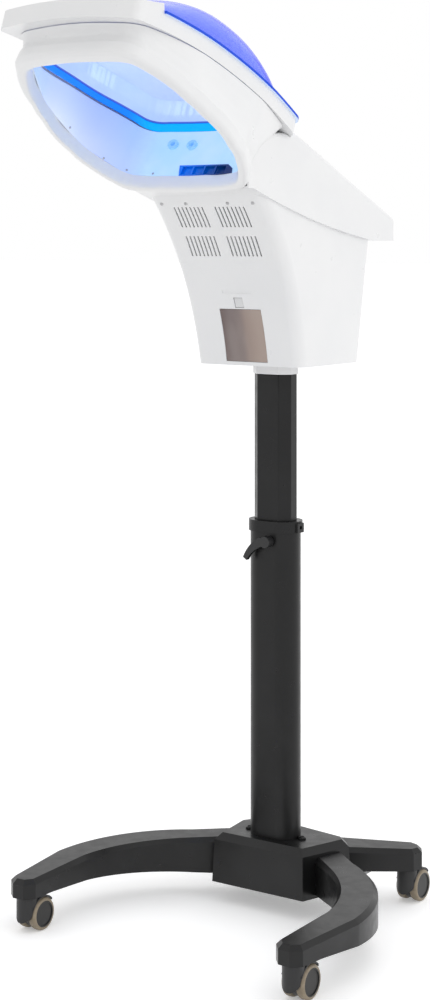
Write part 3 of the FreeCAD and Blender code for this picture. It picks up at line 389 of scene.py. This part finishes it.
def smokeFinish():
    # Smoky tank wall: painted light paler to the right, darker where the near side wall is behind, faint
    # water haze
    made = Finish("smokyTank", IOR=1.49, Roughness=0.16, Coat_Weight=0.1, Coat_Roughness=0.05)
    x = made.axes()[0]
    haze = made.noise(perMetre=26.0, detail=2.0, stretch=(1, 1, 0.3))
    across = x.step(*tank["across"])
    shade = x.band(*tank["behind"], tank["soft"])
    # Painted light: the wall goes from dark on the left to pale on the right
    color = made.mix(across, tank["left"], tank["right"])
    color = made.mix(shade * tank["shadeShare"], color, tank["shade"])
    color = made.mix(haze.step(0.35, 0.75) * tank["hazeShare"], color, tank["haze"])
    made.set(Base_Color=color)
    made.set(Alpha=across * -tank["clearer"] + tank["alpha"])
    made.bump(made.noise(perMetre=300.0, detail=2.0), strength=0.15, distance=0.04 * mm)
    return made.material


finishes["smoke_plastic"] = smokeFinish()
print("finishes made:", len(finishes))


def paint(piece, finish):
    # The one material of a piece
    piece.data.materials.clear()
    piece.data.materials.append(finish)


def settle(piece, body, slotName, *replaced):
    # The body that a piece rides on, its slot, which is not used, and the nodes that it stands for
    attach(piece, body)
    if replaced:
        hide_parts(*replaced)
    return piece


# Copies of the CAD shells with joined triangles, softened edges and smooth shading
crease = 28    # degrees; a sharper edge is softened
gridCrease = 40    # degrees up to which a surface made on a grid shades smoothly
rounder = {"visor_dome": 62, "hood_liner": 62, "hood_shell": 45}    # degrees that still shade smoothly
weld = {"node": 0.02 * mm, "sliver": 0.005 * mm, "grid": 0.002 * mm}
softEdges = {    # name of the copy, and width of its softened edges in millimetres
    "lower_housing": ("lowerHousing", 0.7), "rear_cover": ("rearCover", 0.9),
    "hood_shell": ("hoodShell", 0.5), "visor_frame": ("visorFrame", 1.4),
    "bottom_plate": ("bottomPlate", 0.8), "water_tank": ("waterTank", 0.6),
    "tank_latch": ("tankLatch", 0.8), "neck_bracket": ("neckBracket", 1.0), "base_hub": ("baseHub", 1.6),
    "leg_front_left": ("frontLegLeft", 1.6), "leg_front_right": ("frontLegRight", 1.6),
    "leg_rear_left": ("rearLegLeft", 1.6), "leg_rear_right": ("rearLegRight", 1.6),
    "outer_column": ("outerColumn", 0.6), "inner_column": ("innerColumn", 1.2),
    "column_collar": ("columnCollar", 0.9), "clamp_lever": ("clampLever", 2.2),
    "start_button": ("startButton", 0.8), "power_switch": ("powerSwitch", 1.0),
    "power_inlet": ("powerInlet", 0.6), "hood_liner": ("hoodLiner", 0.0), "visor_dome": ("visorDome", 0.0)}
for corner in ("front_left", "front_right", "rear_left", "rear_right"):
    softEdges["caster_" + corner] = ("casterHousing_" + corner, 0.7)


def soften(node, name, width, sharp):
    # A node's mesh, welded and shaded smoothly up to the sharp angle, with bevelled edges past it
    data = nodes[node].data.copy()
    data.name = name
    if "custom_normal" in data.attributes:
        data.attributes.remove(data.attributes["custom_normal"])
    mesh = bmesh.new()
    mesh.from_mesh(data)
    bmesh.ops.remove_doubles(mesh, verts=mesh.verts, dist=weld["node"])
    bmesh.ops.dissolve_degenerate(mesh, dist=weld["sliver"], edges=mesh.edges)
    mesh.to_mesh(data)
    mesh.free()
    data.shade_smooth()
    data.set_sharp_from_angle(angle=math.radians(sharp))
    piece = bpy.data.objects.new(name, data)
    bpy.context.scene.collection.objects.link(piece)
    if width:
        edge = piece.modifiers.new("softEdge", "BEVEL")
        edge.width = width * mm
        edge.segments = 2
        edge.limit_method = "ANGLE"
        edge.angle_limit = math.radians(sharp)
        edge.use_clamp_overlap = True
        edge.harden_normals = False
    paint(piece, finishes[slotOf[node]])
    return settle(piece, nodes[node]["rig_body"], slotOf[node], node)


for node, (name, width) in softEdges.items():
    soften(node, name, width, rounder.get(node, crease))
paint(bpy.data.objects["tankLatch"], finishes["latch"])
for node, thing in nodes.items():
    if not thing.hide_render:
        for slot in thing.material_slots:
            slot.material = finishes["nozzle" if node == "steam_nozzles" else slotOf[node]]


def lineInside(piece, middle, finish):
    # Faces of a shell that look towards its middle take another finish
    sides = piece.data.polygons
    centres, normals = np.empty(len(sides) * 3), np.empty(len(sides) * 3)
    sides.foreach_get("center", centres)
    sides.foreach_get("normal", normals)
    inward = ((centres.reshape(-1, 3) - middle) * normals.reshape(-1, 3)).sum(1) < 0
    piece.data.materials.append(finish)
    sides.foreach_set("material_index", inward.astype(np.int32))


# The dome's inward faces take the paler, glowing copy, whose colour is painted light
lineInside(bpy.data.objects["visorDome"], domeMiddle, finishes["clear_blue_inside"])
print("shells dressed:", len(softEdges))


# Surfaces worked out on a grid
def gridMesh(name, points, finish, around=True):
    # points[i, j] becomes a mesh of quads; around joins the last column to the first
    rows, columns = points.shape[:2]
    index = np.arange(rows * columns).reshape(rows, columns)
    right = np.roll(index, -1, 1) if around else index[:, 1:]
    here = index if around else index[:, :-1]
    quads = np.stack([here[:-1], right[:-1], right[1:], here[1:]], -1).reshape(-1, 4)
    data = bpy.data.meshes.new(name)
    data.from_pydata(points.reshape(-1, 3).tolist(), [], quads.tolist())
    data.validate()
    mesh = bmesh.new()
    mesh.from_mesh(data)
    bmesh.ops.remove_doubles(mesh, verts=mesh.verts, dist=weld["grid"])
    bmesh.ops.recalc_face_normals(mesh, faces=mesh.faces)
    mesh.to_mesh(data)
    mesh.free()
    data.shade_smooth()
    data.set_sharp_from_angle(angle=math.radians(gridCrease))
    piece = bpy.data.objects.new(name, data)
    bpy.context.scene.collection.objects.link(piece)
    paint(piece, finish)
    return piece


def stand(flat, place, normal):
    # Turns points drawn with +Z as outside so that +Z lies along normal, and moves them to place
    normal = Vector(normal).normalized()
    side = Vector((1, 0, 0)) if abs(normal.x) < 0.9 else Vector((0, 1, 0))
    up = normal.cross(side).normalized()
    side = up.cross(normal)
    axes = np.array([side, up, normal])
    return flat @ axes + np.array(place)


def lathe(profile, count):
    # Points of a profile of (radius, height) turned round Z
    angle = np.linspace(0, 2 * np.pi, count, endpoint=False)
    radius, height = np.array(profile, float).T
    x = radius[:, None] * np.cos(angle)
    y = radius[:, None] * np.sin(angle)
    return np.stack([x, y, np.broadcast_to(height[:, None], x.shape)], -1)


# Every screw head: arm is a cross arm's width as a share of its length, edge and slope shape the recess's
# wall, and the foot is the hidden underside
head = {"columns": 48, "rings": 15, "flatness": 0.82, "arm": 0.3, "edge": 1.15, "slope": 0.3,
        "footRadius": 0.2, "footDepth": 0.4}


def screwHead(radius, height, socket, depth, sixSided=False):
    # Pan head: a low dome less a cross-shaped or six-sided recess, as a height over radius and angle
    angle = np.linspace(0, 2 * np.pi, head["columns"], endpoint=False)
    share = np.linspace(1, 0, head["rings"])[:, None]
    r = radius * share
    x, y = r * np.cos(angle), r * np.sin(angle)
    z = height * np.sqrt(np.clip(1 - share ** 2 * head["flatness"], 0, 1)) + 0 * angle
    if sixSided:
        sides = [abs(x * np.cos(a) + y * np.sin(a)) for a in (0, np.pi / 3, 2 * np.pi / 3)]
        away = np.max(sides, 0) / socket
    else:
        arm = socket * head["arm"]
        alongX = np.maximum(abs(x) / socket, abs(y) / arm)
        alongY = np.maximum(abs(y) / socket, abs(x) / arm)
        away = np.minimum(alongX, alongY)
    z = z - depth * np.clip((head["edge"] - away) / head["slope"], 0, 1)
    top = np.stack([x, y, z], -1)
    low = -height * head["footDepth"]
    foot = lathe([(radius * head["footRadius"], low), (radius, low)], head["columns"])
    return np.concatenate([foot, top])


print("surface helpers ready")

# Screws of the front wall and bolts at the column's foot. A seat is how far behind the solid's outer face
# the foot of the drawn head lies.
screws = {"radius": 3.0 * mm, "height": 1.1 * mm, "socket": 1.7 * mm, "depth": 0.8 * mm}
screwSeat = 1.5 * mm
bolts = {"radius": 6.8 * mm, "height": 4.6 * mm, "socket": 3.0 * mm, "depth": 2.4 * mm, "sixSided": True}
boltSeat = 4.7 * mm


def solidBoxes(node):
    # Lowest and highest corner of the box round each separate solid of a node
    mesh = bmesh.new()
    mesh.from_mesh(nodes[node].data)
    bmesh.ops.remove_doubles(mesh, verts=mesh.verts, dist=weld["node"])
    left = set(mesh.verts)
    groups = []
    while left:
        stack = [left.pop()]
        group = []
        while stack:
            vertex = stack.pop()
            group.append(vertex.co.copy())
            for edge in vertex.link_edges:
                other = edge.other_vert(vertex)
                if other in left:
                    left.remove(other)
                    stack.append(other)
        places = np.array(group)
        groups.append((places.min(0), places.max(0)))
    mesh.free()
    return sorted(groups, key=lambda ends: tuple(ends[0]))


for number, (low, high) in enumerate(solidBoxes("panel_screws")):
    place = ((low[0] + high[0]) / 2, low[1] + screwSeat, (low[2] + high[2]) / 2)
    points = stand(screwHead(**screws), place, (0, -1, 0))
    screw = gridMesh("panelScrew_%d" % number, points, finishes["steel"])
    settle(screw, "head", "steel", *(["panel_screws"] if number == 0 else []))
for number, (low, high) in enumerate(solidBoxes("column_bolts")):
    place = ((low[0] + high[0]) / 2, (low[1] + high[1]) / 2, high[2] - boltSeat)
    points = stand(screwHead(**bolts), place, (0, 0, 1))
    bolt = gridMesh("footBolt_%d" % number, points, finishes["black_tube"])
    settle(bolt, "base", "black_tube", *(["column_bolts"] if number == 0 else []))
print("screws and bolts made")

# Controls on the rear slope
knob = {"radius": 17 * mm, "height": 15 * mm, "gap": 0.6 * mm, "flutes": 24, "fluteDepth": 0.06,
        "columns": 192}
slopeNormal = jointAxis["timer_turn"].normalized()
upSlope = slopeNormal.cross(Vector((1, 0, 0))).normalized()
knobFoot = jointAt["timer_turn"] + slopeNormal * knob["gap"]


def fluted(profile, count, flutes, depth):
    # A lathe whose radius dips at each flute, most near half height
    points = lathe(profile, count)
    angle = np.linspace(0, 2 * np.pi, count, endpoint=False)
    height = points[..., 2] / points[..., 2].max()
    swell = np.clip(np.sin(np.pi * np.clip(height * 1.1, 0, 1)), 0, 1)
    valley = (0.5 + 0.5 * np.cos(flutes * angle)) ** 2
    dip = 1 - depth * swell * valley
    points[..., 0] *= dip
    points[..., 1] *= dip
    return points


def knobOutline(r, h):
    # (radius, height) up the skirt and the grip and over the top, with two more points on every stretch
    outline = np.array([
        (r * 0.3, 0), (r * 0.97, 0), (r, 0.6 * mm), (r, 2.6 * mm), (r * 0.9, 3.4 * mm), (r * 0.86, h * 0.4),
        (r * 0.84, h * 0.8), (r * 0.8, h * 0.95), (r * 0.72, h), (r * 0.3, h * 0.985), (0.05 * mm, h * 0.98)])
    share = np.array([0.34, 0.67, 1])[:, None]
    between = outline[:-1, None] + (outline[1:, None] - outline[:-1, None]) * share
    return np.concatenate([outline[:1], between.reshape(-1, 2)])


points = fluted(knobOutline(knob["radius"], knob["height"]), knob["columns"], knob["flutes"],
                knob["fluteDepth"])
timerKnob = gridMesh("timerKnob", stand(points, knobFoot, slopeNormal), finishes["grey_plastic"])
settle(timerKnob, "knob", "grey_plastic", "timer_knob")

# Pointer and dial marks: roundness is 0 for a square bar and 1 for an oval one, steps are shares of a
# bar's (size, height)
bars = {"columns": 32, "roundness": 0.4, "steps": ((1, 0), (1, 0.6), (0.86, 1), (0.01, 1))}
pointer = {"length": 9 * mm, "width": 1.8 * mm, "height": 0.8 * mm, "reach": 0.38, "sunk": 0.3 * mm}
dial = {"marks": 11, "sweep": 300, "radius": 21.5 * mm, "lift": 0.02 * mm, "length": 3.4 * mm,
        "width": 0.8 * mm, "height": 0.25 * mm, "longEvery": 5, "longer": 1.5}


def bar(name, length, width, height, place, along, body):
    # A low rounded bar on the slope: a squared oval carried from its foot to a smaller top
    angle = np.linspace(0, 2 * np.pi, bars["columns"], endpoint=False)
    x = np.sign(np.cos(angle)) * abs(np.cos(angle)) ** bars["roundness"]
    y = np.sign(np.sin(angle)) * abs(np.sin(angle)) ** bars["roundness"]
    rows = []
    for grow, lift in bars["steps"]:
        rows.append(np.stack([x * length / 2 * grow, y * width / 2 * grow, 0 * x + height * lift], -1))
    cos, sin = math.cos(along), math.sin(along)
    turn = np.array([[cos, sin, 0], [-sin, cos, 0], [0, 0, 1]])
    points = stand(np.array(rows) @ turn, place, slopeNormal)
    return settle(gridMesh(name, points, finishes["black_plastic"]), body, "black_plastic")


place = knobFoot + slopeNormal * (knob["height"] - pointer["sunk"])
place = place + upSlope * knob["radius"] * pointer["reach"]
bar("knobPointer", pointer["length"], pointer["width"], pointer["height"], place, math.pi / 2, "knob")
for number in range(dial["marks"]):
    angle = math.radians(-dial["sweep"] / 2 + dial["sweep"] * number / (dial["marks"] - 1))
    way = upSlope * math.cos(angle) + Vector((1, 0, 0)) * math.sin(angle)
    length = dial["length"] * (dial["longer"] if number % dial["longEvery"] == 0 else 1.0)
    place = jointAt["timer_turn"] + way * dial["radius"] + slopeNormal * dial["lift"]
    bar("dialMark_%02d" % number, length, dial["width"], dial["height"], place, math.pi / 2 - angle, "head")
print("controls made")

# Rolled rim round the opening, in millimetres: half outlines of (x, along the tilted plane, corner radius)
# from the middle of the front to the middle of the rear; heights are square to that plane
rim = {"tilt": 33.0, "y": -373.0, "z": 1222.2, "height": 20.0, "wallStep": 14.0, "roll": 9.0, "lip": 12.0,
       "seat": 19.0, "spread": 0.7, "bend": 3, "columns": 240, "rollRows": 9, "lipRows": 12,
       "cornerPoints": 24,
       "outside": ((0, -197, 600), (106, -190, 42), (152, -62, 120), (155, 62, 90), (114, 146, 45),
                   (0, 160, 600)),
       "opening": ((0, -169, 320), (99, -155, 30), (137.5, -62, 110), (140.5, 50, 80), (105.5, 127, 36),
                   (0, 134, 600))}


def roundedLoop(half, angle):
    # A half outline and its mirror, each corner rounded by a circle that touches both its sides. The loop is
    # its distance from the middle at the given angles. Between two circles that distance changes evenly
    # with the angle, so that a side bows out there and isn't straight.
    mirrored = [(-x, y, radius) for x, y, radius in reversed(half[1:-1])]
    whole = [np.array(corner, float) for corner in list(half) + mirrored]
    places = []
    for before, here, after in zip(whole[-1:] + whole[:-1], whole, whole[1:] + whole[:1]):
        back, ahead = before[:2] - here[:2], after[:2] - here[:2]
        back, ahead = back / np.linalg.norm(back), ahead / np.linalg.norm(ahead)
        halfAngle = math.acos(np.clip(back @ ahead, -1, 1)) / 2
        bisector = (back + ahead) / np.linalg.norm(back + ahead)
        centre = here[:2] + bisector * here[2] / math.sin(halfAngle)
        start = here[:2] + back * here[2] / math.tan(halfAngle) - centre
        end = here[:2] + ahead * here[2] / math.tan(halfAngle) - centre
        share = np.linspace(0, 1, rim["cornerPoints"])[:, None]
        arc = start * (1 - share) + end * share
        places.append(centre + arc / np.linalg.norm(arc, axis=1)[:, None] * here[2])
    loop = np.concatenate(places)
    turn = np.arctan2(loop[:, 1], loop[:, 0])
    order = np.argsort(turn)
    far = np.hypot(loop[:, 0], loop[:, 1])[order]
    reach = np.interp(angle, turn[order], far, period=2 * np.pi)
    return np.stack([reach * np.cos(angle), reach * np.sin(angle)], -1)


def rimPoints():
    # Across the rim: outer wall, quarter-round roll, then a lip that starts flat and bends in to the opening
    angle = np.linspace(-np.pi, np.pi, rim["columns"], endpoint=False)
    outside, opening = roundedLoop(rim["outside"], angle), roundedLoop(rim["opening"], angle)
    along = np.roll(outside, -1, 0) - np.roll(outside, 1, 0)
    normal = np.stack([along[:, 1], -along[:, 0]], -1) / np.linalg.norm(along, axis=1)[:, None]
    rows = [(outside, rim["height"]), (outside, rim["wallStep"])]
    for a in np.linspace(0, np.pi / 2, rim["rollRows"]):
        rows.append((outside - normal * rim["roll"] * (1 - math.cos(a)), rim["roll"] * (1 - math.sin(a))))
    lip = outside - normal * rim["lip"]
    for u in np.linspace(0, 1, rim["lipRows"]):
        share = u ** rim["spread"]
        rows.append((lip * (1 - share) + opening * share, rim["seat"] * u ** rim["bend"]))
    rows += [(opening, rim["height"]), (outside, rim["height"])]
    tilt = math.radians(rim["tilt"])
    points = []
    for flat, height in rows:
        y = rim["y"] + flat[:, 1] * math.cos(tilt) + height * math.sin(tilt)
        z = rim["z"] - flat[:, 1] * math.sin(tilt) + height * math.cos(tilt)
        points.append(np.stack([flat[:, 0], y, z], -1))
    return np.array(points) * mm + np.array([0, columnY, 0])


settle(gridMesh("hoodRim", rimPoints(), finishes["white_shell"]), "head", "white_shell", "hood_rim")

# Small screws low on the lining: each has its place in millimetres from the column and its outward normal
liningScrews = {"radius": 1.9 * mm, "height": 0.8 * mm, "socket": 1.1 * mm, "depth": 0.5 * mm}
screwPlaces = (((-138.7, -355.0, 1239.4), (0.949, -0.146, -0.278)),
               ((-124.9, -290.4, 1194.9), (0.883, -0.47, 0.0)),
               ((-104.9, -258.7, 1177.4), (0.651, -0.674, 0.35)),
               ((-60.8, -250.3, 1171.3), (0.067, -0.822, 0.565)))
for number, (place, normal) in enumerate(screwPlaces):
    place = np.array(place) * mm + np.array([0, columnY, 0])
    points = stand(screwHead(**liningScrews), place, normal)
    screw = gridMesh("liningScrew_%d" % number, points, finishes["steel"])
    settle(screw, "head", "steel")

# The louvre's blades behind its windows, in millimetres: (y, z) pairs are the wall's foot and directions
blades = {"count": 3, "left": -14.0, "right": 86.0, "low": 3.6, "high": 23.0, "back": 0.4, "front": 1.6,
          "lean": 0.86, "columns": 13, "wall": 0.5, "foot": (-247.2, 1164.4), "rise": (0.622, 0.783),
          "inward": (-0.783, 0.622)}


def bladePoints():
    # A sawtooth of slanted blades up the wall: each leans out from the back to the front and steps in again
    rows = [blades["low"]]
    depths = [blades["back"]]
    pitch = (blades["high"] - blades["low"]) / blades["count"]
    for number in range(blades["count"]):
        low = blades["low"] + number * pitch
        rows += [low + pitch * blades["lean"], low + pitch]
        depths += [blades["front"], blades["back"]]
    x = np.linspace(blades["left"], blades["right"], blades["columns"])
    rows, depths = np.array(rows)[:, None] + 0 * x, np.array(depths)[:, None] + 0 * x
    y = columnY / mm + blades["foot"][0] + rows * blades["rise"][0] + depths * blades["inward"][0]
    z = blades["foot"][1] + rows * blades["rise"][1] + depths * blades["inward"][1]
    return np.stack([x + 0 * rows, y, z], -1) * mm


grilleBlades = gridMesh("grilleBlades", bladePoints(), finishes["dark_blue"], around=False)
thick = grilleBlades.modifiers.new("bladeWall", "SOLIDIFY")
thick.thickness = blades["wall"] * mm
settle(grilleBlades, "head", "dark_blue")
print("rim, lining screws and louvre made")


# Camera, at the photograph's place and framing
view = {"east": 1721.2 * mm, "south": -2653.8 * mm, "height": 1077.5 * mm, "heading": 34.74,
        "lens": 70.49, "sensor": 36, "shift": -0.265, "clip": 200}
camera = bpy.data.objects.new("camera", bpy.data.cameras.new("camera"))
bpy.context.scene.collection.objects.link(camera)
camera.location = (view["east"], columnY + view["south"], view["height"])
camera.rotation_euler = (math.pi / 2, 0, math.radians(view["heading"]))
camera.data.sensor_fit = "VERTICAL"
camera.data.sensor_height = view["sensor"]
camera.data.lens = view["lens"]
camera.data.shift_y = view["shift"]
camera.data.clip_end = view["clip"]
bpy.context.scene.camera = camera

bpy.context.scene.view_settings.view_transform = "Standard"

# Studio: pale floor, and a sky whose light leans to the right and the back
studio = {"floor": (0.93, 0.93, 0.935), "floorSize": 60, "lift": 0.3,
          "sky": 0.89, "right": 0.22, "back": 0.17, "top": 0.06, "shown": 1.0}
floorData = bpy.data.meshes.new("floor")
half = studio["floorSize"]
corners = [(-half, -half, 0), (half, -half, 0), (half, half, 0), (-half, half, 0)]
floorData.from_pydata(corners, [], [(0, 1, 2, 3)])
floor = bpy.data.objects.new("floor", floorData)
bpy.context.scene.collection.objects.link(floor)


def looking(finish):
    # 1 for rays of the lens, of gloss and of glass, 0 for the light that reaches the object
    kinds = ("Is Camera Ray", "Is Glossy Ray", "Is Transmission Ray")
    lens, gloss, glass = [finish.node("ShaderNodeLightPath", {}, {}, kind) for kind in kinds]
    return lens.maths("MINIMUM", lens + gloss + glass, 1.0)


floorFinish = Finish("paleFloor", Base_Color=studio["floor"], Emission_Strength=1.0)
floorFinish.set(Roughness=floorFinish.noise(perMetre=3.0).step(0.3, 0.7) * 0.1 + 0.85)
floorFinish.set(Emission_Color=floorFinish.mix(looking(floorFinish), (0, 0, 0), (studio["lift"],) * 3))
paint(floor, floorFinish.material)


def makeSky():
    # What the lens, gloss and glass see of the sky is white; its light is strength + slopes times direction
    world = bpy.data.worlds.new("studio")
    bpy.context.scene.world = world
    world.use_nodes = True
    sky = Shading(world.node_tree)
    background = sky.tree.nodes["Background"]
    sky.feed(background.inputs["Color"], (1, 1, 1))
    x, y, z = sky.axes(sky.node("ShaderNodeTexCoord", {}, {}, "Generated"))
    light = x * studio["right"] + y * studio["back"] + z * studio["top"] + studio["sky"]
    seen = looking(sky)
    sky.feed(background.inputs["Strength"], light * (1 - seen) + seen * studio["shown"])


makeSky()

lamps = {"keyRight": {"place": (2.6, -0.3, 2.2), "target": (0, 0, 0.9), "size": 1.8, "power": 3},
         "fillLeft": {"place": (-2.4, -1.6, 1.6), "target": (0, 0, 0.8), "size": 1.6, "power": 1.5},
         "topBack": {"place": (-0.8, 2.2, 2.8), "target": (0, 0, 0.3), "size": 2.0, "power": 5}}


def softLamp(name, place, target, size, power):
    # A round area lamp that looks at its target
    lamp = bpy.data.lights.new(name, "AREA")
    lamp.shape = "DISK"
    lamp.size = size
    lamp.energy = power
    thing = bpy.data.objects.new(name, lamp)
    bpy.context.scene.collection.objects.link(thing)
    thing.location = place
    thing.rotation_euler = (Vector(target) - Vector(place)).to_track_quat("-Z", "Y").to_euler()


for name, lamp in lamps.items():
    softLamp(name, **lamp)
print("camera and studio set")
